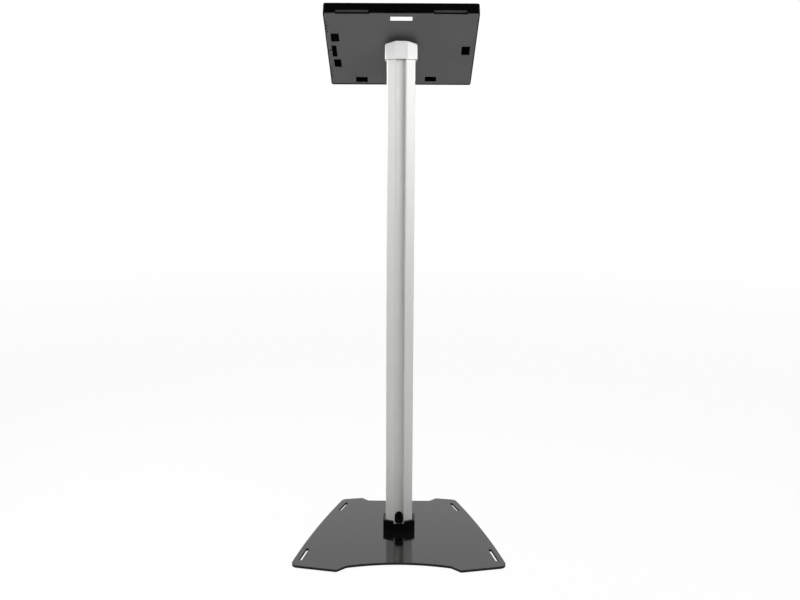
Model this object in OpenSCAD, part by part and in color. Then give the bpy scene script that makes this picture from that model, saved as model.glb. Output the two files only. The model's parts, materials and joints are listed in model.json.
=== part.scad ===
// Adjustable tablet floor stand: steel base plate, extruded column, tablet enclosure that tilts and turns.
// Millimetres, +Z up, floor at z = 0. The screen side faces +Y and the rear of the stand faces -Y.

/* [Base plate] */
// Thickness of the steel plate
base_t = 5; // [3:0.5:10]
// Column axis to the straight middle of the front edge
front_y = 137; // [100:1:180]
// Half length of the straight middle of the front edge
front_half = 71.5; // [50:0.5:80]
// Column centre line to the inner end of a front lobe
lobe_x = 87; // [82:1:110]
// How far a front lobe stands out beyond the middle of the edge
lobe_out = 15; // [5:0.5:25]
// Column centre line to a front corner
far_x = 132; // [125:0.5:170]
// How far a front corner lies behind the inner end of its lobe
far_drop = 8; // [5:0.5:20]
// Column centre line to a rear corner
near_x = 213; // [180:0.5:260]
// Column axis to a rear corner
near_y = 175; // [140:1:220]
// Column centre line to a rear foot tip
tip_x = 121; // [112:1:150]
// How far a rear foot tip lies behind its rear corner
tip_drop = 19; // [10:0.5:40]
// Column centre line to the end of the hollow rear edge
hollow_x = 103; // [80:1:108]
// How far the hollow edge ends short of the foot tips
hollow_step = 16.5; // [8:0.5:20]
// Depth of the hollow in the rear edge
hollow_depth = 14; // [6:0.5:25]
// How far a side edge bows outwards
side_bow = 6.5; // [2:0.5:15]
// Radius of the plate's outer corners
corner_r = 14; // [6:0.5:20]
// Radius of the plate's small steps
step_r = 6; // [2:0.5:8]
// Width of an anchor slot
slot_w = 6; // [5:0.5:8]
// Length of a front anchor slot
far_slot_len = 45; // [30:1:60]
// Length of a rear anchor slot
near_slot_len = 51; // [30:1:60]
// Distance from the side edge to a front slot's centre line
far_slot_inset = 16.5; // [11:0.5:20]
// Distance from the side edge to a rear slot's centre line
near_slot_inset = 13.5; // [11:0.5:20]
// Distance along the side from a front corner to its slot
far_slot_gap = 17; // [16:0.5:40]
// Distance along the side from a rear corner to its slot
near_slot_gap = 23; // [16:0.5:40]

/* [Feet] */
// Height of a rubber foot
foot_h = 2; // [1:0.5:5]
// Diameter of a rubber foot
foot_d = 22; // [14:1:26]
// Distance from the plate's rear and side edges to a foot's centre
foot_inset = 24; // [18:1:40]

/* [Column] */
// Width of the column
col_w = 56.5; // [54:0.5:70]
// Depth of the column
col_d = 40; // [38:0.5:60]
// Half width of the flat middle of the front and rear faces
flat_half = 11.5; // [10.5:0.1:12.5]
// Half depth of the flat sides
side_half = 12.6; // [11:0.1:14]
// Radius between a flat middle and the slanted face beside it
facet_r = 4; // [3:0.5:8]
// Radius between a slanted face and a flat side
side_r = 3.5; // [3:0.5:8]
// Wall thickness of the column
col_wall = 2.5; // [2:0.25:4]
// Height of the column
col_len = 986; // [700:1:1200]
// Radius of the concave rear channel
channel_r = 10.5; // [9:0.5:11]
// How far the channel's centre lies behind the rear face
channel_out = 3.75; // [3:0.25:6]
// Outer radius of a screw port
port_r = 4; // [3.75:0.25:4.5]
// Diameter of the screws in the ports
port_screw_d = 5; // [4:0.5:5]
// Length of the screws in the ports
port_screw_len = 25; // [15:1:40]

/* [Collar and cable outlet] */
// Height of the base collar
collar_h = 22; // [15:0.5:40]
// Wall of the base collar
collar_wall = 5.5; // [3:0.1:7]
// Width of the collar's rear notch
notch_w = 23; // [20:0.5:40]
// Depth of the collar's rear notch
notch_h = 6.5; // [4:0.5:10]
// Width of the hole in the column
outlet_w = 14; // [10:0.5:15]
// Height of the hole in the column
outlet_h = 24; // [20:0.5:40]
// Bottom of the hole above the plate
outlet_z = 15; // [8:0.5:60]
// Wall of the grommet inside the hole
grommet_wall = 2; // [1.5:0.25:2.5]
// How far the grommet's lip overlaps the channel
grommet_lip = 1.5; // [1:0.25:2]
// Thickness of the grommet's lip
lip_t = 1.2; // [0.8:0.1:2]

/* [Cap] */
// Wall of the cap
cap_wall = 3.5; // [2.5:0.1:6]
// How far the cap reaches down over the column
cap_lap = 5; // [3:0.5:15]
// Width of the ledge that rests on the column's end
cap_ledge = 1.5; // [1:0.1:2]
// Distance from the tilt axis up to the cap's slanted top
cap_rise = 17; // [13:0.5:17.5]

/* [Tilt hinge] */
// Angle of the enclosure from the horizontal
rest_tilt = 30; // [20:1:45]
// Tilt axis in front of the column axis
pivot_y = 6; // [3:0.5:6.5]
// Tilt axis below the column's top end
pivot_drop = 6.75; // [4:0.25:8]
// Diameter of the tilt bolt
tilt_bolt_d = 6; // [5:0.5:6]
// Width of the bracket's lug
lug_w = 12; // [11:0.5:13]
// Half depth of the lug
lug_half = 7; // [6:0.25:8]
// How far the lug's round end stands out beyond its half depth
lug_swell = 1.5; // [1:0.25:2]
// Thickness of a friction washer beside the lug
tilt_washer_t = 1; // [0.5:0.25:2]
// Thickness of a clevis ear
ear_t = 5; // [4:0.25:5.5]
// Radius of a clevis ear
ear_r = 10; // [8:0.5:11]
// Height of the block inside the column
block_h = 24; // [18:1:50]
// Diameter of the cable hole in the block
cable_hole_d = 12; // [8:0.5:14]
// Diameter of the block's side screws
side_screw_d = 4; // [3:0.5:5]
// Length of the block's side screws
side_screw_len = 12; // [8:0.5:13]
// Half the height between the side screws
side_screw_half = 6; // [5:0.5:7]
// How far the slot for the lug reaches below the tilt axis
tilt_slot_drop = 3; // [1:0.5:8]

/* [Swivel] */
// Distance from the tilt axis to the swivel flange
flange_rise = 22; // [21.5:0.5:26]
// Radius of the swivel flange
flange_r = 27; // [25:0.5:27.5]
// Thickness of the swivel flange
flange_t = 3; // [2.5:0.5:5]
// Thickness of the swivel friction washer
swivel_washer_t = 1.2; // [0.8:0.1:2]
// Outer radius of the swivel friction washer
swivel_washer_r = 15; // [10:0.5:16]
// Diameter of the swivel screw's shoulder
swivel_d = 8; // [6:0.5:8]
// Depth of the swivel screw in the bracket
swivel_depth = 15; // [10:0.5:16]
// Thickness of the spring washer under the swivel screw's head
spring_washer_t = 1.4; // [0.8:0.1:2]
// Radius of the swivel screw's head
swivel_head_r = 9; // [7:0.5:12]
// Height of the swivel screw's head
swivel_head_h = 4; // [3:0.5:5]
// Radius at which the stop pin stands
stop_r = 20; // [19:0.5:22]
// Diameter of the stop pin
stop_d = 4; // [3:0.5:5]
// Turn between landscape and portrait
swivel_turn = 90; // [60:1:90]
// Clearance of the stop pin in its slot
stop_gap = 0.5; // [0.3:0.1:1]

/* [Enclosure] */
// Width of the enclosure
enc_w = 296; // [290:1:340]
// Height of the enclosure along its slope
enc_h = 222; // [220:1:260]
// Thickness of the enclosure
enc_t = 22; // [21:0.5:30]
// Thickness of the sheet steel
sheet_t = 1.5; // [1:0.1:2]
// Corner radius of the front frame
enc_r = 5; // [4:0.5:10]
// Gap between frame flange and tray at the sides
side_gap = 0.5; // [0.4:0.1:1.5]
// Gap between frame flange and tray at the top, where the hooks lie
top_gap = 1.6; // [1.6:0.1:3]
// Gap between frame flange and tray at the bottom
bottom_gap = 2.4; // [1.2:0.1:3]
// Height of the tray's walls
tray_h = 18; // [16:0.5:18.5]
// Width of the window in the frame
window_w = 206; // [150:1:230]
// Height of the window in the frame
window_h = 155; // [110:1:160]
// Corner radius of the window
window_r = 4; // [1:0.5:10]

/* [Openings in the rear case] */
// Width of the slot near the top edge
top_slot_w = 42; // [20:1:80]
// Height of the slot near the top edge
top_slot_h = 12.5; // [6:0.5:14]
// Top edge of the enclosure to that slot
top_slot_s = 12; // [11:0.5:18]
// Width of a vent slit
vent_w = 4; // [2:0.25:5]
// Distance between vent slits
vent_pitch = 8.6; // [7:0.1:10]
// How far the vent slits reach into the back
vent_in = 4; // [2:0.25:6]
// How far the vent slits reach up the side
vent_up = 13; // [6:0.5:15]
// Vent slits in a group
vent_count = 4; // [1:1:4]
// Top edge of the enclosure to the middle of the upper vents
upper_vent_s = 41; // [25:1:60]
// Top edge of the enclosure to the middle of the lower vents
lower_vent_s = 180; // [160:1:195]
// Width of the cable slit in the left side
slit_w = 4.5; // [3:0.25:8]
// Top edge of the enclosure to the middle of the cable slit
slit_s = 110; // [102:1:118]

/* [Hooks] */
// Width of a hook tab
hook_w = 62; // [30:1:80]
// Enclosure centre to a hook tab's centre
hook_x = 93; // [80:1:100]
// Thickness of a hook tab
hook_t = 1; // [0.8:0.1:1.2]
// Height of a hook tab's leg on the frame
hook_leg = 10; // [6:0.5:15]
// How far a hook tab reaches into the tray
hook_in = 3.4; // [2.8:0.1:4]
// How far a hook tab's foot lies inside the back
hook_rise = 1.8; // [1.6:0.1:2]
// Height of the hook slots in the tray's wall
hook_slot_up = 5.5; // [5.5:0.25:8]
// Top edge of the enclosure to the end of the hook slots in the back
hook_slot_in = 5.75; // [5.25:0.25:11]
// Depth of the notch in the frame's flange outside a hook tab
hook_notch = 6.5; // [3:0.5:8]

/* [Tablet holders] */
// Width of the tablet
tablet_w = 250; // [235:1:252]
// Height of the tablet
tablet_h = 175; // [165:1:180]
// Thickness of the tablet
tablet_t = 8; // [6:0.5:9]
// Clearance round the tablet
tablet_gap = 0.3; // [0.2:0.1:1]
// Length of a corner holder along each side
holder_len = 24; // [18:1:30]
// Wall of a corner holder
holder_wall = 4; // [2.5:0.5:5]
// Height of the seat for a holder's nut above the tray
holder_seat = 4.5; // [3:0.25:5]
// Diameter of a weld stud
stud_d = 3; // [2.5:0.5:4]

/* [Lock] */
// Radius of the lock housing
lock_r = 6; // [5.5:0.25:6.5]
// Length of the lock housing inside the frame
lock_len = 14; // [12:0.5:15]
// Radius of the lock's nut and outer flange
lock_nut_r = 8; // [7:0.25:8.5]
// Thickness of the lock's nut
lock_nut_t = 3; // [2:0.5:5]
// Thickness of the lock's outer flange
lock_flange_t = 1.5; // [1:0.25:3]
// Radius of the key plug
plug_r = 4; // [3:0.25:4.5]
// Reach of the cam from the lock's axis
cam_reach = 10; // [8:0.5:10]
// Half width of the cam
cam_half = 3.5; // [3:0.25:4]
// Thickness of the cam
cam_t = 2.5; // [1.5:0.25:3]
// Width of the lock's keeper
keeper_w = 6; // [4:0.5:8]
// Clearance of the cam in the keeper
keeper_gap = 1; // [0.5:0.25:1.5]

/* [Fits] */
// Clearance between trim sleeves and the column
sleeve_gap = 0.2; // [0.1:0.05:0.5]
// Clearance of the head block in the column
block_gap = 0.3; // [0.1:0.05:0.5]
// Radial clearance of screws and pins in their holes
pin_gap = 0.05; // [0.02:0.01:0.09]
// Clearance between faces that slide past each other
slide_gap = 0.3; // [0.2:0.05:0.5]

/* [Hidden] */
$fn = 64;

// Cuts run this far past the faces that they open
over = 1;
// Heads, nuts and hexagon recesses, as shares of the thread's diameter
head_share = 0.8;
nut_share = 0.8;
nut_r_share = 0.9;
hex_share = 0.35;
// Straight pieces that make up a round corner, a bowed side and the hollow edge
corner_steps = 8;
side_steps = 12;
hollow_steps = 14;

// Outline of the base plate, measured from the column axis
lobe_y = front_y + lobe_out;
tip_y = near_y + tip_drop;
hollow_y = tip_y - hollow_step;
hollow_r = (hollow_x * hollow_x + hollow_depth * hollow_depth) / (2 * hollow_depth);
far_corner = [far_x, lobe_y - far_drop];
near_corner = [near_x, -near_y];
side_len = norm(near_corner - far_corner);
side_dir = (near_corner - far_corner) / side_len;
side_out = [-side_dir[1], side_dir[0]];
function side_point(t) = far_corner + side_dir * side_len * t + side_out * side_bow * 4 * t * (1 - t);
function hollow_point(t) =
    let (x = hollow_x * t) [x, hollow_r - sqrt(hollow_r * hollow_r - x * x)];
half_outline = concat(
    [[front_half, front_y, step_r], [lobe_x, lobe_y, step_r], [far_corner[0], far_corner[1], corner_r]],
    [for (i = [1:side_steps - 1]) let (p = side_point(i / side_steps)) [p[0], p[1], 0]],
    [[near_corner[0], near_corner[1], corner_r], [tip_x, -tip_y, step_r], [hollow_x, -hollow_y, step_r]],
    [for (i = [hollow_steps / 2 - 1:-1:1]) let (p = hollow_point(2 * i / hollow_steps))
        [p[0], hollow_depth - hollow_y - p[1], 0]]
);
full_outline = concat(
    half_outline,
    [[0, hollow_depth - hollow_y, 0]],
    [for (i = [len(half_outline) - 1:-1:0]) [-half_outline[i][0], half_outline[i][1], half_outline[i][2]]]
);
function flat(p) = [p[0], p[1]];
function unit(v) = v / norm(v);
function short_turn(a) = a > 180 ? a - 360 : a < -180 ? a + 360 : a;
function round_corner(a, b, c, r) =
    let (
        u = unit(a - b), w = unit(c - b), half = acos(u * w) / 2,
        o = b + unit(u + w) * r / sin(half), p = b + u * r / tan(half) - o, q = b + w * r / tan(half) - o,
        start = atan2(p[1], p[0]), turn = short_turn(atan2(q[1], q[0]) - start)
    ) [for (i = [0:corner_steps]) let (a = start + turn * i / corner_steps) o + r * [cos(a), sin(a)]];
function rounded(pts) = [for (i = [0:len(pts) - 1]) each pts[i][2] == 0 ? [flat(pts[i])] : round_corner(
    flat(pts[(i + len(pts) - 1) % len(pts)]), flat(pts[i]), flat(pts[(i + 1) % len(pts)]), pts[i][2])];
base_outline = rounded(full_outline);
outline_y = [for (p = base_outline) p[1]];
// The origin is under the middle of the plate, so the column stands off it by this much
col_y = -(max(outline_y) + min(outline_y)) / 2;
base_z = foot_h + base_t;
// Where each slot starts and ends along the side, as shares of its length, and its inset
slot_spans = [
    [far_slot_gap / side_len, (far_slot_gap + far_slot_len) / side_len, far_slot_inset],
    [1 - (near_slot_gap + near_slot_len) / side_len, 1 - near_slot_gap / side_len, near_slot_inset]
];
feet_at = [
    [(tip_x + near_x) / 2, foot_inset - near_y - tip_drop / 2], [lobe_x + foot_d / 2, front_y - foot_d / 2],
    side_point(0.5) - side_out * foot_inset
];

// Column: slanted faces join its flat middles and its flat sides, and sleeves keep its corner radius
facet_turn = atan2(col_d / 2 - side_half, col_w / 2 - flat_half);
function column_plan(grow) =
    let (
        x1 = flat_half + grow * tan(facet_turn / 2), y1 = col_d / 2 + grow, r1 = facet_r + grow,
        x2 = col_w / 2 + grow, y2 = side_half + grow * tan((90 - facet_turn) / 2), r2 = side_r + min(grow, sleeve_gap),
        half = [[x1, y1, r1], [x2, y2, r2], [x2, -y2, r2], [x1, -y1, r1]]
    ) rounded(concat(half, [for (p = half) [-p[0], -p[1], p[2]]]));
channel_y = -col_d / 2 - channel_out;
col_top = base_z + col_len;
// The screw ports sink a little into the two walls that carry them
port_bite = 0.8;
port_in = col_wall + port_r - port_bite;
port_x = col_w / 2 - port_in;
port_y = col_d / 2 - (port_x - flat_half) * tan(facet_turn) - port_in / cos(facet_turn);
port_hole_r = port_screw_d / 2 + pin_gap;
outlet_mid = base_z + outlet_z + outlet_h / 2;

// Head: the tilt axis carries a local frame with Y down the slope and Z out of the tablet's screen
pivot_z = col_top - pivot_drop;
bolt_r = tilt_bolt_d / 2;
bolt_head_r = tilt_bolt_d * head_share;
bolt_head_h = tilt_bolt_d;
nut_h = tilt_bolt_d * nut_share;
nut_r = tilt_bolt_d * nut_r_share;
lug_r = lug_half + lug_swell;
ear_in = lug_w / 2 + tilt_washer_t;
ear_out = ear_in + ear_t;
bolt_end = ear_out + nut_h + over;
block_top = pivot_z - max(lug_r, nut_r, bolt_head_r) - slide_gap;
block_z = block_top - block_h;
side_screw_z = block_z + block_h / 2;
tilt_slot_z = pivot_z - tilt_slot_drop;
washer_z = flange_rise + flange_t;
back_z = washer_z + swivel_washer_t;
back_in = back_z + sheet_t;
front_z = back_z + enc_t;
front_in = front_z - sheet_t;
swivel_r = swivel_d / 2;
stop_slot_r = stop_d / 2 + stop_gap;

// Enclosure, in the head's frame: s runs down the back from the top edge
function s(d) = d - enc_h / 2;
tray_top = s(sheet_t + top_gap);
tray_bottom = enc_h / 2 - sheet_t - bottom_gap;
tray_w = enc_w - 2 * (sheet_t + side_gap);
tray_mid = (tray_top + tray_bottom) / 2;
tray_len = tray_bottom - tray_top;
tray_r = enc_r - sheet_t - side_gap;
left = -enc_w / 2;
right = enc_w / 2;
// Access holes in the back: left edge, width, start and end down the slope
power_hole = [left + 9.5, 9.5, 96, 130.5];
side_holes = [
    power_hole, [left + 10, 16, 60, 84.5], [left + 11, 14.5, 138, 163.5], [right - 27.5, 17, 97, 124]
];
bottom_holes = [[-95.5, 25, 196, 214.5], [50, 24, 194, 211.5]];
hook_y = s(sheet_t);
hook_foot_z = back_z + hook_rise;
tablet_floor = front_in - slide_gap - tablet_t;
holder_x = tablet_w / 2 + tablet_gap + holder_wall;
holder_y = tablet_h / 2 + tablet_gap + holder_wall;
holder_top = front_in - slide_gap;
stud_x = holder_x - holder_len / 2;
stud_y = holder_y - holder_len / 2;
stud_seat = back_in + holder_seat;
stud_r = stud_d / 2;
stud_nut_r = stud_d * nut_r_share;
stud_nut_t = stud_d * nut_share;
lock_z = back_in + cam_reach + slide_gap;
lock_face = enc_h / 2;
lock_inner = lock_face - sheet_t - lock_len;
plug_end = lock_inner - slide_gap;
cam_y = plug_end - cam_t;
keeper_x = max(cam_half, plug_r) + keeper_gap;
keeper_out = cam_reach + keeper_gap;
keeper_lip = lock_z + cam_half + keeper_gap;
key_w = plug_r / 3;
key_depth = lock_len / 2;
cam_screw_r = plug_r / 2;
cam_screw_head_r = plug_r - pin_gap;
cam_screw_head_h = cam_screw_r;

module at_column(z = 0) translate([0, col_y, z]) children();
module at_head() translate([0, col_y + pivot_y, pivot_z]) rotate([-rest_tilt, 0, 0]) children();
module at_lock() translate([0, 0, lock_z]) rotate([-90, 0, 0]) children();
module mirrored() for (sx = [-1, 1], sy = [-1, 1]) scale_signs(sx, sy) children();
module scale_signs(sx, sy) mirror([sx < 0 ? 1 : 0, 0, 0]) mirror([0, sy < 0 ? 1 : 0, 0]) children();
module along_x() rotate([0, 90, 0]) children();

module rounded_rect(w, d, r) {
    square([w - 2 * r, d], center = true);
    square([w, d - 2 * r], center = true);
    for (sx = [-1, 1], sy = [-1, 1]) translate([sx * (w / 2 - r), sy * (d / 2 - r)]) circle(r);
}

module slab(x0, x1, y0, y1, z0, z1) translate([x0, y0, z0]) cube([x1 - x0, y1 - y0, z1 - z0]);

module ring(outer, inner, h) difference() {
    cylinder(r = outer, h = h);
    translate([0, 0, -over]) cylinder(r = inner, h = h + 2 * over);
}

// Upright slot with round ends, cut through along Y
module obround(w, h, depth) rotate([90, 0, 0]) {
    for (e = [-1, 1]) translate([0, e * (h - w) / 2, -depth / 2]) cylinder(d = w, h = depth);
    cube([w, h - w, depth], center = true);
}

// Countersunk screw with its flat head at z = 0 and its shank along +Z
module flat_screw(d, len, grow = 0) {
    cylinder(r1 = d + grow, r2 = d / 2 + grow, h = d / 2);
    cylinder(r = d / 2 + grow, h = len);
}

module anchor_slot(span) {
    a = side_point(span[0]) - side_out * span[2];
    b = side_point(span[1]) - side_out * span[2];
    len = norm(b - a) - slot_w;
    translate([(a[0] + b[0]) / 2, (a[1] + b[1]) / 2, -over]) rotate(atan2(b[1] - a[1], b[0] - a[0])) {
        for (e = [-1, 1]) translate([e * len / 2, 0, 0]) cylinder(d = slot_w, h = base_t + 2 * over);
        translate([-len / 2, -slot_w / 2, 0]) cube([len, slot_w, base_t + 2 * over]);
    }
}

module ports(z) mirrored() translate([port_x, port_y, z]) children();

module base_plate() color("#3c3c3e") at_column(foot_h) difference() {
    linear_extrude(base_t) polygon(base_outline);
    for (span = slot_spans) {
        anchor_slot(span);
        mirror([1, 0, 0]) anchor_slot(span);
    }
    ports(0) flat_screw(port_screw_d, base_t + over, pin_gap);
}

module base_feet() color("#1b1b1b") at_column() for (p = feet_at, sx = [-1, 1])
    translate([sx * p[0], p[1], 0]) cylinder(d = foot_d, h = foot_h);

module hex_screw(d, len) difference() {
    flat_screw(d, len);
    translate([0, 0, -over]) cylinder(r = d * hex_share, h = over + d * hex_share, $fn = 6);
}

module column_screws() color("silver") at_column(foot_h) ports(0) hex_screw(port_screw_d, port_screw_len);

module plan(grow, h) linear_extrude(h) polygon(column_plan(grow));

module column_bar() difference() {
    union() {
        difference() {
            plan(0, col_len);
            translate([0, 0, -over]) plan(-col_wall, col_len + 2 * over);
        }
        intersection() {
            plan(0, col_len);
            translate([0, channel_y, 0]) cylinder(r = channel_r + col_wall, h = col_len);
        }
        ports(0) cylinder(r = port_r, h = col_len);
    }
    translate([0, channel_y, -over]) cylinder(r = channel_r, h = col_len + 2 * over);
    ports(-over) cylinder(r = port_hole_r, h = col_len + 2 * over);
}

module side_screws_at() for (sx = [-1, 1], e = [-1, 1]) scale_signs(sx, 1)
    translate([col_w / 2, 0, side_screw_z + e * side_screw_half]) rotate([0, -90, 0]) children();

// The last cut leaves room for the tilt bolt and its nut between the screw ports
module column() color("#c9cbcd") at_column() difference() {
    translate([0, 0, base_z]) column_bar();
    translate([0, channel_y + channel_r + col_wall / 2, outlet_mid]) obround(outlet_w, outlet_h, channel_r);
    side_screws_at() flat_screw(side_screw_d, side_screw_len, pin_gap);
    slab(-lug_w / 2 - over, lug_w / 2 + over, 0, col_d, tilt_slot_z, col_top + over);
    translate([-bolt_end - slide_gap, pivot_y, pivot_z]) along_x()
        cylinder(r = max(nut_r, bolt_head_r) + slide_gap, h = bolt_end + ear_out + bolt_head_h + 2 * slide_gap);
}

// Column outline grown by the sleeve clearance and a wall
module sleeve(wall, h) plan(sleeve_gap + wall, h);

module base_collar() color("#151515") at_column(base_z) difference() {
    sleeve(collar_wall, collar_h);
    translate([0, 0, -over]) sleeve(0, collar_h + 2 * over);
    slab(-notch_w / 2, notch_w / 2, -col_d, 0, collar_h - notch_h, collar_h + over);
}

module cable_grommet() color("#0d0d0d") at_column() difference() {
    union() {
        intersection() {
            translate([0, channel_y, 0]) difference() {
                cylinder(r = channel_r, h = col_len);
                cylinder(r = channel_r - lip_t, h = col_len);
            }
            translate([0, 0, outlet_mid])
                obround(outlet_w + 2 * grommet_lip, outlet_h + 2 * grommet_lip, col_d);
        }
        intersection() {
            translate([0, channel_y, 0]) ring(channel_r + col_wall + lip_t, channel_r - lip_t, col_len);
            translate([0, 0, outlet_mid]) obround(outlet_w - 2 * pin_gap, outlet_h - 2 * pin_gap, col_d);
        }
    }
    translate([0, 0, outlet_mid])
        obround(outlet_w - 2 * grommet_wall, outlet_h - 2 * grommet_wall, col_d + 2 * over);
}

module column_cap() color("#dcdddd") difference() {
    at_column(col_top - cap_lap) sleeve(cap_wall, col_w);
    at_column(col_top - cap_lap - over) sleeve(0, cap_lap + over);
    at_column(col_top - over) sleeve(-cap_ledge - sleeve_gap, col_w + 2 * over);
    at_head() slab(-col_w, col_w, -2 * col_w, 2 * col_w, cap_rise, 3 * col_w);
    at_column() slab(-lug_w / 2 - over, lug_w / 2 + over, 0, col_d, tilt_slot_z, col_top + col_w);
}

module head_block() color("#8f9194") difference() {
    inset = col_wall + block_gap;
    union() {
        at_column(block_z) difference() {
            plan(-inset, block_h);
            translate([0, channel_y, -over]) cylinder(r = channel_r + inset, h = block_h + 2 * over);
            ports(-over) cylinder(r = port_r + block_gap, h = block_h + 2 * over);
        }
        at_column() for (sx = [-1, 1]) scale_signs(sx, 1) {
            translate([ear_in, pivot_y, pivot_z]) along_x() cylinder(r = ear_r, h = ear_t);
            slab(ear_in, ear_out, pivot_y - ear_r, pivot_y + ear_r, block_top - over, pivot_z);
        }
    }
    at_column() {
        translate([-col_w / 2, pivot_y, pivot_z]) along_x() cylinder(r = bolt_r + pin_gap, h = col_w);
        translate([0, pivot_y, block_z - over]) cylinder(d = cable_hole_d, h = block_h + 2 * over);
        side_screws_at() flat_screw(side_screw_d, side_screw_len + over, pin_gap);
    }
}

module head_block_screws() color("#b9bbbd") at_column() side_screws_at()
    hex_screw(side_screw_d, side_screw_len);

module tilt_bolt() color("#4a4b4d") at_column() translate([0, pivot_y, pivot_z]) along_x() difference() {
    union() {
        translate([0, 0, -bolt_end]) cylinder(r = bolt_r, h = bolt_end + ear_out);
        translate([0, 0, ear_out]) cylinder(r = bolt_head_r, h = bolt_head_h);
    }
    translate([0, 0, ear_out + bolt_head_h / 2]) cylinder(r = bolt_r, h = bolt_head_h, $fn = 6);
}

module hex_nut(r, bore, h) difference() {
    cylinder(r = r, h = h, $fn = 6);
    translate([0, 0, -over]) cylinder(r = bore, h = h + 2 * over);
}

module tilt_nut() color("#b9bbbd") at_column() translate([-ear_out - nut_h, pivot_y, pivot_z]) along_x()
    hex_nut(nut_r, bolt_r + pin_gap, nut_h);

module tilt_washers() color("#e6e2d6") at_column() for (sx = [-1, 1]) scale_signs(sx, 1)
    translate([lug_w / 2 + pin_gap, pivot_y, pivot_z]) along_x()
        ring(lug_r, bolt_r + pin_gap, tilt_washer_t - pin_gap);

module tilt_bracket() color("#202124") at_head() difference() {
    union() {
        translate([-lug_w / 2, 0, 0]) along_x() cylinder(r = lug_r, h = lug_w);
        slab(-lug_w / 2, lug_w / 2, -lug_half, lug_half, 0, flange_rise + over);
        translate([0, 0, flange_rise]) cylinder(r = flange_r, h = flange_t);
    }
    translate([-lug_w, 0, 0]) along_x() cylinder(r = bolt_r + pin_gap, h = 2 * lug_w);
    translate([0, 0, washer_z - swivel_depth]) cylinder(r = swivel_r + pin_gap, h = swivel_depth + over);
    translate([0, stop_r, flange_rise - over]) cylinder(r = stop_d / 2 + pin_gap, h = flange_t + 2 * over);
}

module swivel_friction_washer() color("#e6e2d6") at_head() translate([0, 0, washer_z])
    ring(swivel_washer_r, swivel_r + pin_gap, swivel_washer_t - pin_gap);

module swivel_screw() color("#b9bbbd") at_head() difference() {
    union() {
        translate([0, 0, washer_z - swivel_depth])
            cylinder(r = swivel_r, h = swivel_depth + swivel_washer_t + sheet_t + spring_washer_t + over);
        translate([0, 0, back_in + spring_washer_t]) cylinder(r = swivel_head_r, h = swivel_head_h);
    }
    translate([0, 0, back_in + spring_washer_t + swivel_head_h / 2])
        cylinder(r = swivel_r, h = swivel_head_h, $fn = 6);
}

module swivel_spring_washer() color("#77797c") at_head() translate([0, 0, back_in + pin_gap])
    ring(swivel_head_r, swivel_r + pin_gap, spring_washer_t - pin_gap);

module swivel_stop_pin() color("#b9bbbd") at_head() translate([0, stop_r, flange_rise])
    cylinder(d = stop_d, h = back_in - flange_rise);

module stop_slot() {
    translate([0, 0, back_z - over]) {
        rotate(90 - swivel_turn) rotate_extrude(angle = swivel_turn)
            translate([stop_r - stop_slot_r, 0]) square([2 * stop_slot_r, sheet_t + 2 * over]);
        for (a = [90 - swivel_turn, 90]) rotate(a) translate([stop_r, 0, 0])
            cylinder(r = stop_slot_r, h = sheet_t + 2 * over);
    }
}

module vents(x1) for (group = [upper_vent_s, lower_vent_s], i = [0:vent_count - 1]) {
    y = s(group) + (i - (vent_count - 1) / 2) * vent_pitch;
    slab(left - over, x1, y - vent_w / 2, y + vent_w / 2, back_z - over, back_z + vent_up);
}

module cable_slit(x1) translate([0, s(slit_s), back_z])
    slab(left - over, x1, -slit_w / 2, slit_w / 2, -over, vent_up);

module back_hole(x, w, s0, s1) slab(x, x + w, s(s0), s(s1), back_z - over, back_in + over);

module hook_slots() for (sx = [-1, 1]) slab(
    sx * hook_x - hook_w / 2 - over, sx * hook_x + hook_w / 2 + over,
    tray_top - over, s(hook_slot_in), back_z - over, back_z + hook_slot_up);

module lock_notch() slab(
    -lock_nut_r - over, lock_nut_r + over, tray_bottom - sheet_t - over, tray_bottom + over,
    lock_z - lock_nut_r - over, back_z + tray_h + over);

// The tray's bottom wall is cut away behind the bottom holes
module wall_reliefs() for (h = bottom_holes) slab(
    h[0], h[0] + h[1], tray_bottom - sheet_t - over, tray_bottom + over, back_in, back_z + tray_h + over);

module rear_case() color("#4b4c4e") at_head() difference() {
    translate([0, tray_mid, back_z]) difference() {
        linear_extrude(tray_h) rounded_rect(tray_w, tray_len, tray_r);
        translate([0, 0, sheet_t]) linear_extrude(tray_h)
            rounded_rect(tray_w - 2 * sheet_t, tray_len - 2 * sheet_t, tray_r - sheet_t);
    }
    back_hole(-top_slot_w / 2, top_slot_w, top_slot_s, top_slot_s + top_slot_h);
    for (h = concat(side_holes, bottom_holes)) back_hole(h[0], h[1], h[2], h[3]);
    wall_reliefs();
    vents(-tray_w / 2 + vent_in);
    cable_slit(power_hole[0] + over);
    hook_slots();
    lock_notch();
    stop_slot();
    translate([0, 0, back_z - over]) cylinder(r = swivel_r + pin_gap, h = sheet_t + 2 * over);
}

module at_corners() mirrored() children();

module corner_holders() color("#2a2a2b") at_head() at_corners() difference() {
    slab(holder_x - holder_len, holder_x, holder_y - holder_len, holder_y, back_in, holder_top);
    slab(0, holder_x - holder_wall, 0, holder_y - holder_wall, tablet_floor, holder_top + over);
    translate([stud_x, stud_y, back_in - over]) cylinder(r = stud_r + pin_gap, h = enc_t);
    translate([stud_x, stud_y, stud_seat]) cylinder(r = stud_nut_r + slide_gap, h = enc_t);
}

module corner_studs() color("#b9bbbd") at_head() at_corners() translate([stud_x, stud_y, back_in])
    cylinder(r = stud_r, h = holder_seat + stud_nut_t + over);

module corner_nuts() color("#b9bbbd") at_head() at_corners() translate([stud_x, stud_y, stud_seat])
    hex_nut(stud_nut_r, stud_r + pin_gap, stud_nut_t);

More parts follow.
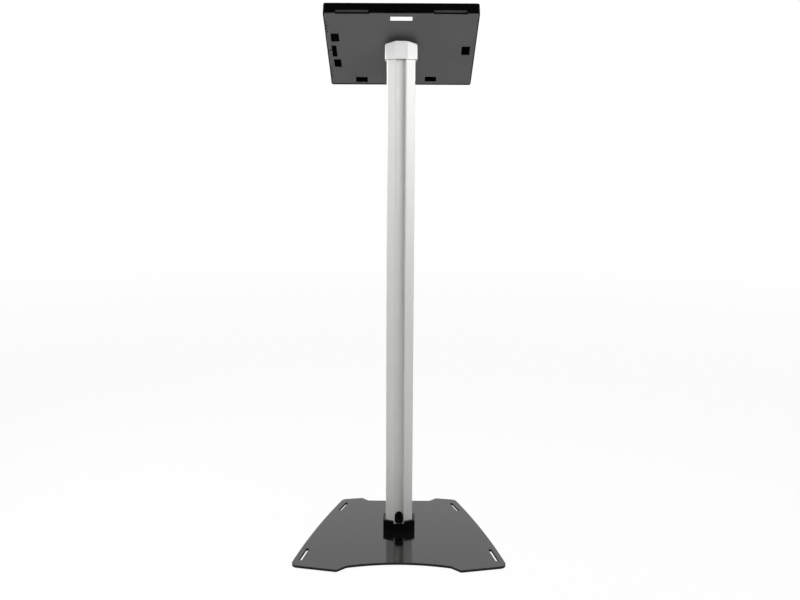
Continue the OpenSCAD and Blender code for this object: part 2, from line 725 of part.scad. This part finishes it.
module lock_keeper() color("#b9bbbd") at_head() {
    y0 = cam_y - (keeper_w - cam_t) / 2;
    slab(keeper_out, keeper_out + sheet_t, y0, y0 + keeper_w, back_in, keeper_lip + sheet_t);
    slab(keeper_x, keeper_out + sheet_t, y0, y0 + keeper_w, keeper_lip, keeper_lip + sheet_t);
    slab(keeper_out, keeper_out + 2 * keeper_w, y0, y0 + keeper_w, back_in, back_in + sheet_t);
}

module hook_notches() for (sx = [-1, 1]) slab(
    sx * hook_x - hook_w / 2, sx * hook_x + hook_w / 2, s(-over), hook_y, back_z - over, back_z + hook_notch);

module front_frame() color("#2b2b2d") at_head() difference() {
    translate([0, 0, back_z]) linear_extrude(enc_t) rounded_rect(enc_w, enc_h, enc_r);
    translate([0, 0, back_z - over]) linear_extrude(enc_t - sheet_t + over)
        rounded_rect(enc_w - 2 * sheet_t, enc_h - 2 * sheet_t, enc_r - sheet_t);
    translate([0, 0, front_in - over]) linear_extrude(sheet_t + 2 * over)
        rounded_rect(window_w, window_h, window_r);
    vents(left + sheet_t + side_gap / 2);
    cable_slit(left + sheet_t + side_gap / 2);
    hook_notches();
    at_lock() translate([0, 0, lock_face - sheet_t - over])
        cylinder(r = lock_r + pin_gap, h = sheet_t + 2 * over);
}

module hook_tabs() color("#3a3b3d") at_head() for (sx = [-1, 1]) {
    x0 = sx * hook_x - hook_w / 2;
    slab(x0, x0 + hook_w, hook_y, hook_y + hook_t, hook_foot_z, back_z + hook_leg);
    slab(x0, x0 + hook_w, hook_y, hook_y + hook_in, hook_foot_z, hook_foot_z + hook_t);
}

module lock_housing() color("#b9bbbd") at_head() at_lock() difference() {
    union() {
        translate([0, 0, lock_inner]) cylinder(r = lock_r, h = lock_len + sheet_t);
        translate([0, 0, lock_face]) cylinder(r = lock_nut_r, h = lock_flange_t);
    }
    translate([0, 0, lock_inner - over]) cylinder(r = plug_r + pin_gap, h = lock_len + enc_t);
}

module lock_nut() color("#9a9b9d") at_head() at_lock() translate([0, 0, lock_face - sheet_t - lock_nut_t])
    ring(lock_nut_r, lock_r + pin_gap, lock_nut_t);

module lock_plug() color("#d0d2d4") at_head() at_lock() difference() {
    translate([0, 0, plug_end]) cylinder(r = plug_r, h = lock_face + lock_flange_t - plug_end);
    translate([-key_w / 2, -plug_r / 2, lock_face + lock_flange_t - key_depth])
        cube([key_w, plug_r, lock_len]);
    translate([0, 0, plug_end - over]) cylinder(r = cam_screw_r + pin_gap, h = over + lock_len / 3);
}

module lock_cam() color("#9a9b9d") at_head() at_lock() translate([0, 0, cam_y]) difference() {
    union() {
        cylinder(r = plug_r, h = cam_t);
        translate([-cam_half, 0, 0]) cube([2 * cam_half, cam_reach - cam_half, cam_t]);
        translate([0, cam_reach - cam_half, 0]) cylinder(r = cam_half, h = cam_t);
    }
    translate([0, 0, -over]) cylinder(r = cam_screw_r + pin_gap, h = cam_t + 2 * over);
}

module lock_cam_screw() color("#b9bbbd") at_head() at_lock() translate([0, 0, cam_y]) difference() {
    union() {
        cylinder(r = cam_screw_r, h = cam_t + lock_len / 4);
        translate([0, 0, -cam_screw_head_h]) cylinder(r = cam_screw_head_r, h = cam_screw_head_h);
    }
    translate([-key_w / 2, -plug_r, -cam_screw_head_h - over])
        cube([key_w, 2 * plug_r, cam_screw_head_h / 2 + over]);
}

base_plate();
base_feet();
column_screws();
column();
base_collar();
cable_grommet();
column_cap();
head_block();
head_block_screws();
tilt_bolt();
tilt_nut();
tilt_washers();
tilt_bracket();
swivel_friction_washer();
swivel_screw();
swivel_spring_washer();
swivel_stop_pin();
rear_case();
corner_holders();
corner_studs();
corner_nuts();
lock_keeper();
front_frame();
hook_tabs();
lock_housing();
lock_nut();
lock_plug();
lock_cam();
lock_cam_screw();
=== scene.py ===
import json
import math

import bmesh
import bpy
from mathutils import Matrix, Vector


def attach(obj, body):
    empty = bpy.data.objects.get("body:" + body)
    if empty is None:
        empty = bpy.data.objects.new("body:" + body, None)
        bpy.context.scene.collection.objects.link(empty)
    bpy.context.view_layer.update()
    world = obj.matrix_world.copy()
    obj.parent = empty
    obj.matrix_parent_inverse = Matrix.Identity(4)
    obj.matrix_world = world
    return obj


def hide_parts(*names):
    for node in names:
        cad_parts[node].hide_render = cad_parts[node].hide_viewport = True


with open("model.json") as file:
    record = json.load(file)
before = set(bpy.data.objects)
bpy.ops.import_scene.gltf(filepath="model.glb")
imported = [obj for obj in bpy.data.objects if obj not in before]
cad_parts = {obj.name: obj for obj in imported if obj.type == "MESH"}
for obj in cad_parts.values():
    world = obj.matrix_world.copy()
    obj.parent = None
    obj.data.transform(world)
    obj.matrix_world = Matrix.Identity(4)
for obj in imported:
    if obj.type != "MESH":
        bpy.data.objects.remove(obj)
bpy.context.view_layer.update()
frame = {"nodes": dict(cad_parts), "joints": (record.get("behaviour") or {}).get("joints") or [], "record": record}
nodes = frame["nodes"]
record = frame["record"]
bodyOf = {node: body for body, members in record["behaviour"]["bodies"].items() for node in members}
print("frame loaded,", len(nodes), "nodes")


class Wire:
    # an output socket that can be written in sums
    def __init__(self, tree, socket=None):
        self.tree = tree
        self.socket = socket

    def node(self, kind, settings=None, inputs=None, output=0):
        made = self.tree.nodes.new(kind)
        for name, value in (settings or {}).items():
            if name == "stops":
                steps = made.color_ramp.elements
                while len(steps) < len(value):
                    steps.new(1.0)
                for step, (place, shade) in zip(steps, value):
                    step.position = place
                    step.color = (shade, shade, shade, 1.0)
            else:
                setattr(made, name, value)
        for name, value in (inputs or {}).items():
            if isinstance(value, Wire):
                self.tree.links.new(value.socket, made.inputs[name])
            else:
                made.inputs[name].default_value = value
        return Wire(self.tree, made.outputs[output])

    def sum(self, operation, first, second):
        return self.node("ShaderNodeMath", {"operation": operation}, {0: first, 1: second})

    def __add__(self, other):
        return self.sum("ADD", self, other)

    def __radd__(self, other):
        return self.sum("ADD", other, self)

    def __mul__(self, other):
        return self.sum("MULTIPLY", self, other)

    def __rmul__(self, other):
        return self.sum("MULTIPLY", other, self)


def newFinish(name, **sockets):
    finish = bpy.data.materials.new(name)
    finish.use_nodes = True
    shader = finish.node_tree.nodes["Principled BSDF"]
    for socket, value in sockets.items():
        shader.inputs[socket.replace("_", " ")].default_value = value
    coords = Wire(finish.node_tree).node("ShaderNodeTexCoord", output="Object")
    return finish, shader, coords


def feed(shader, socket, wire):
    wire.tree.links.new(wire.socket, shader.inputs[socket])


def grain(coords, scale, stretch=(1, 1, 1), detail=2.0, rough=0.5):
    placed = coords.node("ShaderNodeMapping", None, {"Vector": coords, "Scale": stretch})
    return coords.node("ShaderNodeTexNoise", None,
                       {"Vector": placed, "Scale": scale, "Detail": detail, "Roughness": rough})


def ramp(wire, *stops):
    return wire.node("ShaderNodeValToRGB", {"stops": stops}, {"Fac": wire})


def tint(wire, dark, light):
    ends = {6: (*dark, 1.0), 7: (*light, 1.0)}
    return wire.node("ShaderNodeMix", {"data_type": "RGBA"}, {0: wire, **ends}, 2)


def bump(wire, strength, depth):
    return wire.node("ShaderNodeBump", None, {"Height": wire, "Strength": strength, "Distance": depth})


coatMix = {"drift": 0.8, "specks": 0.2, "speckEdge": ((0.62, 0.0), (0.74, 1.0)), "speckRough": 0.06}


# powder coat: fine orange peel over a slow drift of the shade, with a few specks
def powderCoat(name, look):
    finish, shader, coords = newFinish(name, IOR=look["ior"], Specular_IOR_Level=look["gloss"])
    drift = grain(coords, look["drift"], detail=3.0)
    peel = grain(coords, look["peel"], detail=1.0)
    specks = ramp(grain(coords, look["specks"], detail=4.0), *coatMix["speckEdge"])
    shade = drift * coatMix["drift"] + specks * coatMix["specks"]
    feed(shader, "Base Color", tint(shade, look["dark"], look["light"]))
    feed(shader, "Roughness", drift * look["roughDrift"] + specks * coatMix["speckRough"] + look["rough"])
    feed(shader, "Normal", bump(peel, look["bump"], look["depth"]))
    return finish


caseLook = {"dark": (0.086, 0.086, 0.089), "light": (0.115, 0.115, 0.118), "rough": 0.40,
            "roughDrift": 0.10, "drift": 14.0, "peel": 1100.0, "specks": 420.0, "bump": 0.35,
            "depth": 0.00012, "ior": 1.5, "gloss": 0.5}
frameLook = {"dark": (0.0008, 0.0008, 0.0008), "light": (0.0016, 0.0016, 0.0016), "rough": 0.38,
             "roughDrift": 0.10, "drift": 14.0, "peel": 1100.0, "specks": 420.0, "bump": 0.35,
             "depth": 0.00012, "ior": 1.5, "gloss": 0.04}
hookLook = {"dark": (0.042, 0.042, 0.043), "light": (0.056, 0.056, 0.057), "rough": 0.42,
            "roughDrift": 0.12, "drift": 30.0, "peel": 1300.0, "specks": 500.0, "bump": 0.3,
            "depth": 0.0001, "ior": 1.5, "gloss": 0.4}
bracketLook = {"dark": (0.008, 0.008, 0.008), "light": (0.014, 0.014, 0.014), "rough": 0.42,
               "roughDrift": 0.12, "drift": 30.0, "peel": 1300.0, "specks": 500.0, "bump": 0.4,
               "depth": 0.00012, "ior": 1.5, "gloss": 0.3}
plateLook = {"dark": (0.0015, 0.0015, 0.0015), "light": (0.003, 0.003, 0.003), "rough": 0.07,
             "roughDrift": 0.05, "drift": 7.0, "peel": 420.0, "specks": 260.0, "bump": 0.12,
             "depth": 0.00006, "ior": 1.66, "gloss": 0.5}
rimLook = {"dark": (0.004, 0.004, 0.004), "light": (0.008, 0.008, 0.008), "rough": 0.42,
           "roughDrift": 0.12, "drift": 7.0, "peel": 900.0, "specks": 260.0, "bump": 0.3,
           "depth": 0.0001, "ior": 1.5, "gloss": 0.2}
caseCoat = powderCoat("satin_case_coat", caseLook)
frameCoat = powderCoat("satin_frame_coat", frameLook)
hookCoat = powderCoat("satin_hook_coat", hookLook)
bracketCoat = powderCoat("bracket_coat", bracketLook)
plateCoat = powderCoat("gloss_plate_coat", plateLook)
rimCoat = powderCoat("plate_rim_coat", rimLook)


metalMix = {"lines": 0.45, "drift": 0.55}


# metal drawn or rolled one way: long fine lines, in tone, gloss and relief
def drawnMetal(name, look):
    finish, shader, coords = newFinish(name, Metallic=look["metal"])
    lines = grain(coords, look["lines"], look["along"], detail=3.0, rough=0.6)
    drift = grain(coords, look["drift"], look["along"], detail=2.0)
    shade = lines * metalMix["lines"] + drift * metalMix["drift"]
    feed(shader, "Base Color", tint(shade, look["dark"], look["light"]))
    feed(shader, "Roughness", lines * look["roughLines"] + look["rough"])
    feed(shader, "Normal", bump(lines, look["bump"], look["depth"]))
    return finish


anodisedLook = {"dark": (0.56, 0.561, 0.544), "light": (0.64, 0.641, 0.622), "rough": 0.50,
                "roughLines": 0.12, "lines": 900.0, "drift": 60.0, "along": (1.0, 1.0, 0.006),
                "bump": 0.15, "depth": 0.00005, "metal": 0.3}
oxideLook = {"dark": (0.055, 0.055, 0.06), "light": (0.10, 0.10, 0.105), "rough": 0.36,
             "roughLines": 0.16, "lines": 1800.0, "drift": 200.0, "along": (1.0, 1.0, 1.0),
             "bump": 0.15, "depth": 0.00004, "metal": 1.0}
chromeLook = {"dark": (0.66, 0.66, 0.67), "light": (0.74, 0.74, 0.75), "rough": 0.08,
              "roughLines": 0.08, "lines": 700.0, "drift": 90.0, "along": (1.0, 1.0, 1.0),
              "bump": 0.04, "depth": 0.00003, "metal": 1.0}
# painted shade: a dark dull finish for the inside of the column, standing in for the shade in that hollow
ductShadeLook = {"dark": (0.03, 0.03, 0.03), "light": (0.05, 0.05, 0.05), "rough": 0.66, "roughLines": 0.16,
            "lines": 500.0, "drift": 40.0, "along": (1.0, 1.0, 0.01), "bump": 0.2, "depth": 0.00008,
            "metal": 0.2}
anodised = drawnMetal("satin_anodised", anodisedLook)
ductPaintedShade = drawnMetal("duct_painted_shade", ductShadeLook)
blackOxide = drawnMetal("black_oxide", oxideLook)
lockChrome = drawnMetal("lock_chrome", chromeLook)


zincMix = {"cloud": 0.7, "crystals": 0.3}


# zinc plate: small cloudy crystals
def zincPlate(name, look):
    finish, shader, coords = newFinish(name, Metallic=1.0)
    cells = {"Vector": coords, "Scale": look["crystals"]}
    crystals = coords.node("ShaderNodeTexVoronoi", None, cells, "Distance")
    cloud = grain(coords, look["cloud"], detail=4.0)
    shade = cloud * zincMix["cloud"] + crystals * zincMix["crystals"]
    feed(shader, "Base Color", tint(shade, look["dark"], look["light"]))
    feed(shader, "Roughness", cloud * look["roughCloud"] + look["rough"])
    feed(shader, "Normal", bump(crystals, look["bump"], look["depth"]))
    return finish


zincLook = {"dark": (0.46, 0.47, 0.48), "light": (0.62, 0.63, 0.64), "rough": 0.24, "roughCloud": 0.2,
            "crystals": 900.0, "cloud": 240.0, "bump": 0.08, "depth": 0.00004}
castLook = {"dark": (0.30, 0.305, 0.31), "light": (0.46, 0.465, 0.47), "rough": 0.42,
            "roughCloud": 0.25, "crystals": 650.0, "cloud": 130.0, "bump": 0.35, "depth": 0.0001}
zinc = zincPlate("zinc_plate", zincLook)
casting = zincPlate("die_casting", castLook)


mouldMix = {"drift": 0.7, "spark": 0.3}


# mouldings: fine spark texture and a slow drift of the shade
def moulding(name, look):
    finish, shader, coords = newFinish(name, IOR=look["ior"], Specular_IOR_Level=look["gloss"])
    drift = grain(coords, look["drift"], detail=2.0)
    spark = grain(coords, look["spark"], detail=2.0, rough=0.6)
    shade = drift * mouldMix["drift"] + spark * mouldMix["spark"]
    feed(shader, "Base Color", tint(shade, look["dark"], look["light"]))
    feed(shader, "Roughness", spark * look["roughSpark"] + look["rough"])
    feed(shader, "Normal", bump(spark, look["bump"], look["depth"]))
    return finish


capLook = {"dark": (0.70, 0.70, 0.70), "light": (0.76, 0.76, 0.755), "rough": 0.26, "roughSpark": 0.08,
           "drift": 40.0, "spark": 1500.0, "bump": 0.06, "depth": 0.00005, "ior": 1.46, "gloss": 0.5}
trimLook = {"dark": (0.001, 0.001, 0.001), "light": (0.002, 0.002, 0.002), "rough": 0.14,
            "roughSpark": 0.10, "drift": 60.0, "spark": 1600.0, "bump": 0.10, "depth": 0.00005,
            "ior": 1.46, "gloss": 0.12}
rubberLook = {"dark": (0.001, 0.001, 0.001), "light": (0.0025, 0.0025, 0.0025), "rough": 0.58,
              "roughSpark": 0.2, "drift": 90.0, "spark": 1200.0, "bump": 0.4, "depth": 0.0001,
              "ior": 1.5, "gloss": 0.1}
nylonLook = {"dark": (0.66, 0.63, 0.56), "light": (0.78, 0.75, 0.68), "rough": 0.36,
             "roughSpark": 0.12, "drift": 120.0, "spark": 1800.0, "bump": 0.15, "depth": 0.00005,
             "ior": 1.53, "gloss": 0.5}
capPlastic = moulding("pale_cap_plastic", capLook)
trimPlastic = moulding("black_trim_plastic", trimLook)
rubber = moulding("black_rubber", rubberLook)
nylon = moulding("friction_nylon", nylonLook)
print("finishes made,", len(bpy.data.materials), "materials")


# in metres and degrees: points that are one, faces that are one, edges to break and edges that stay sharp,
# and how far a face has to turn to count as facing that way
edgeRules = {"merge": 1e-6, "flat": 0.2, "corner": 40, "sharp": 35, "facing": 0.5}


def cornersOf(work, angle):
    return [edge for edge in work.edges if len(edge.link_faces) == 2 and edge.calc_face_angle() > angle]


def breakEdges(work, picked, width, segments):
    bmesh.ops.bevel(work, geom=picked, offset=width, offset_type="OFFSET", segments=segments, profile=0.5,
                    affect="EDGES", material=-1, clamp_overlap=True)


# a merged copy of a node with its edges broken, in the node's place
def softEdges(node, finish, edge):
    mesh = bpy.data.meshes.new(node + "_soft")
    work = bmesh.new()
    work.from_mesh(nodes[node].data)
    bmesh.ops.remove_doubles(work, verts=work.verts, dist=edgeRules["merge"])
    flat = math.radians(edgeRules["flat"])
    bmesh.ops.dissolve_limit(work, angle_limit=flat, verts=work.verts, edges=work.edges)
    angle = math.radians(edge.get("corner", edgeRules["corner"]))
    if "rim" in edge:
        rim = edge["rim"]
        picked = [e for e in cornersOf(work, angle) if rim["choose"](e)]
        breakEdges(work, picked, rim["width"], rim["segments"])
    breakEdges(work, cornersOf(work, angle), edge["width"], edge["segments"])
    choose, other = edge.get("other", (None, None))
    for face in work.faces:
        face.smooth = True
        if choose and choose(face):
            face.material_index = 1
    work.to_mesh(mesh)
    work.free()
    mesh.materials.append(finish)
    if other:
        mesh.materials.append(other)
    piece = bpy.data.objects.new(node + "_soft", mesh)
    bpy.context.scene.collection.objects.link(piece)
    mesh.set_sharp_from_angle(angle=math.radians(edgeRules["sharp"]))
    even = piece.modifiers.new("even_normals", "WEIGHTED_NORMAL")
    even.keep_sharp = True
    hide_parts(node)
    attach(piece, bodyOf[node])


def paint(node, finish):
    for slot in nodes[node].material_slots:
        slot.material = finish


tilt = Vector(frame["joints"][0]["pos_m"])
normal = Vector(frame["joints"][1]["axis"]).normalized()


# the cut sides of the plate, duller than its top
def onSide(face):
    return abs(face.normal.z) < edgeRules["facing"]


plateEdge = {"width": 0.0012, "segments": 3, "other": (onSide, rimCoat)}
softEdges("base_plate", plateCoat, plateEdge)

footEdge = {"width": 0.0005, "segments": 2}
softEdges("base_feet", rubber, footEdge)


# the walls of the duct inside the column, which face its axis and lie beyond the rear channel; their dark dull
# finish is painted shade for that hollow
def inDuct(face):
    spot = face.calc_center_median() - columnMid
    spot.z = 0
    return face.normal.dot(spot) < 0 and (spot - columnEdge["channel"]).length > columnEdge["reach"]


columnMid = sum((Vector(corner) for corner in nodes["column"].bound_box), Vector()) / 8
columnEdge = {"width": 0.0005, "segments": 2, "channel": Vector((0.0, -0.02375, 0.0)), "reach": 0.0115,
              "other": (inDuct, ductPaintedShade)}
softEdges("column", anodised, columnEdge)

collarEdge = {"width": 0.0009, "segments": 3}
softEdges("base_collar", trimPlastic, collarEdge)

grommetEdge = {"width": 0.0004, "segments": 2, "corner": 50}
softEdges("cable_grommet", rubber, grommetEdge)


# the outer edge of the cap's slanted top
def onRim(edge):
    rim = capEdge["rim"]
    spot = (edge.verts[0].co + edge.verts[1].co) / 2 - tilt
    if abs(spot.dot(normal) - rim["rise"]) > rim["near"]:
        return False
    spot.z = 0
    sides = [face.normal for face in edge.link_faces if abs(face.normal.dot(normal)) < rim["slant"]]
    return len(sides) == 1 and sides[0].dot(spot) > 0


capEdge = {"width": 0.0005, "segments": 2,
           "rim": {"choose": onRim, "width": 0.003, "segments": 4,
                   "rise": 0.017, "near": 2e-4, "slant": 0.95}}
softEdges("column_cap", capPlastic, capEdge)
print("stand dressed")

caseEdge = {"width": 0.0004, "segments": 2}
softEdges("rear_case", caseCoat, caseEdge)

frameEdge = {"width": 0.0005, "segments": 2}
softEdges("front_frame", frameCoat, frameEdge)


# painted shade: the feet of the hook tabs take the black frame coat where they go into the case, standing in for
# the shadow inside the slots
def paintedShadeOnFoot(face):
    return face.normal.dot(normal) < -edgeRules["facing"]


# the black coat on the rear faces of the feet is painted shade
tabEdge = {"width": 0.0003, "segments": 2, "other": (paintedShadeOnFoot, frameCoat)}
softEdges("hook_tabs", hookCoat, tabEdge)

holderEdge = {"width": 0.0006, "segments": 2}
softEdges("corner_holders", trimPlastic, holderEdge)

bracketEdge = {"width": 0.0005, "segments": 2}
softEdges("tilt_bracket", bracketCoat, bracketEdge)

blockEdge = {"width": 0.0005, "segments": 2}
softEdges("head_block", casting, blockEdge)
print("head dressed")

smallEdge = {"width": 0.0002, "segments": 2}
for name in ("column_screws", "head_block_screws", "swivel_screw", "swivel_stop_pin", "corner_studs",
             "corner_nuts", "tilt_nut", "lock_keeper", "lock_cam", "lock_cam_screw"):
    softEdges(name, zinc, smallEdge)
for name in ("tilt_bolt", "swivel_spring_washer"):
    softEdges(name, blackOxide, smallEdge)
for name in ("lock_housing", "lock_nut", "lock_plug"):
    softEdges(name, lockChrome, smallEdge)
for name in ("tilt_washers", "swivel_friction_washer"):
    paint(name, nylon)
print("hardware dressed")


# pale floor: the camera sees it nearly white, wholly white far off, and it keeps the shadow
floorLook = {"size": 14.0, "shade": 0.86, "white": ((0.1, 0.95), (0.4, 1.0))}
floorMesh = bpy.data.meshes.new("floor")
work = bmesh.new()
bmesh.ops.create_grid(work, x_segments=1, y_segments=1, size=floorLook["size"] / 2)
work.to_mesh(floorMesh)
work.free()
floor = bpy.data.objects.new("floor", floorMesh)
bpy.context.scene.collection.objects.link(floor)
floorFinish = bpy.data.materials.new("pale_floor")
floorFinish.use_nodes = True
tree = floorFinish.node_tree
tree.nodes.clear()
start = Wire(tree)
seen = start.node("ShaderNodeLightPath", output="Is Camera Ray")
coords = start.node("ShaderNodeTexCoord", output="Object")
far = start.node("ShaderNodeVectorMath", {"operation": "LENGTH"}, {0: coords}, "Value")
matte = start.node("ShaderNodeBsdfDiffuse", None, {"Color": (floorLook["shade"],) * 3 + (1.0,)})
white = start.node("ShaderNodeEmission", None, {"Color": (1.0, 1.0, 1.0, 1.0), "Strength": 1.0})
share = seen * ramp(far * (1.0 / floorLook["size"]), *floorLook["white"])
mixed = start.node("ShaderNodeMixShader", None, {0: share, 1: matte, 2: white})
surface = tree.nodes.new("ShaderNodeOutputMaterial")
tree.links.new(mixed.socket, surface.inputs["Surface"])
floorMesh.materials.append(floorFinish)

# world: white to the camera and in reflections, up to a dark ceiling, and dim as a light
worldLook = {"light": 0.05, "ceiling": ((0.55, 1.0), (0.85, 0.05))}
world = bpy.data.worlds.new("studio")
bpy.context.scene.world = world
world.use_nodes = True
tree = world.node_tree
tree.nodes.clear()
start = Wire(tree)
seen = start.node("ShaderNodeLightPath", output="Is Camera Ray")
glossy = start.node("ShaderNodeLightPath", output="Is Glossy Ray")
clear = start.node("ShaderNodeLightPath", output="Is Transmission Ray")
ray = start.node("ShaderNodeTexCoord", output="Generated")
lift = start.node("ShaderNodeSeparateXYZ", None, {"Vector": ray}, "Z")
pale = (1.0, 1.0, 1.0, 1.0)
dim = start.node("ShaderNodeBackground", None, {"Color": pale, "Strength": worldLook["light"]})
room = ramp(lift, *worldLook["ceiling"])
white = start.node("ShaderNodeBackground", None, {"Color": room, "Strength": 1.0})
mixed = start.node("ShaderNodeMixShader", None, {0: seen + glossy + clear, 1: dim, 2: white})
surface = tree.nodes.new("ShaderNodeOutputWorld")
tree.links.new(mixed.socket, surface.inputs["Surface"])

# softboxes: one at each side of the column, a key to the right, weak ones in front and above
lampLook = [
    {"name": "left_softbox", "at": (-1.2, 0.04, 1.15), "size": 0.6, "watts": 21.7},
    {"name": "right_softbox", "at": (1.16, -0.27, 1.3), "size": 0.6, "watts": 10.3},
    {"name": "key_softbox", "at": (0.99, -0.97, 1.15), "size": 0.6, "watts": 7.4},
    {"name": "front_softbox", "at": (-0.13, -1.47, 1.2), "size": 0.6, "watts": 5.7},
    {"name": "top_softbox", "at": (0.3, 0.9, 3.2), "aim": (0.0, 0.1, 0.0), "size": 1.6, "watts": 3.5},
]
lampAim = (0.0, 0.02, 0.9)  # where a softbox without an aim of its own points
for look in lampLook:
    lamp = bpy.data.lights.new(look["name"], "AREA")
    lamp.shape = "SQUARE"
    lamp.size = look["size"]
    lamp.energy = look["watts"]
    held = bpy.data.objects.new(look["name"], lamp)
    bpy.context.scene.collection.objects.link(held)
    held.visible_camera = False
    aim = Vector(look.get("aim", lampAim)) - Vector(look["at"])
    held.matrix_world = Matrix.Translation(look["at"]) @ aim.to_track_quat("-Z", "Y").to_matrix().to_4x4()

# camera at the photograph's angle
cameraLook = {"at": (0.0, -1.6073, 0.766), "down": 9.06, "roll": 0.28, "lens": 35.66, "sensor": 36.0}
lens = bpy.data.cameras.new("camera")
lens.lens = cameraLook["lens"]
lens.sensor_width = cameraLook["sensor"]
camera = bpy.data.objects.new("camera", lens)
bpy.context.scene.collection.objects.link(camera)
camera.matrix_world = (Matrix.Translation(cameraLook["at"])
                       @ Matrix.Rotation(math.radians(90 - cameraLook["down"]), 4, "X")
                       @ Matrix.Rotation(math.radians(cameraLook["roll"]), 4, "Z"))
bpy.context.scene.camera = camera
bpy.context.scene.view_settings.view_transform = "Standard"
print("studio set")
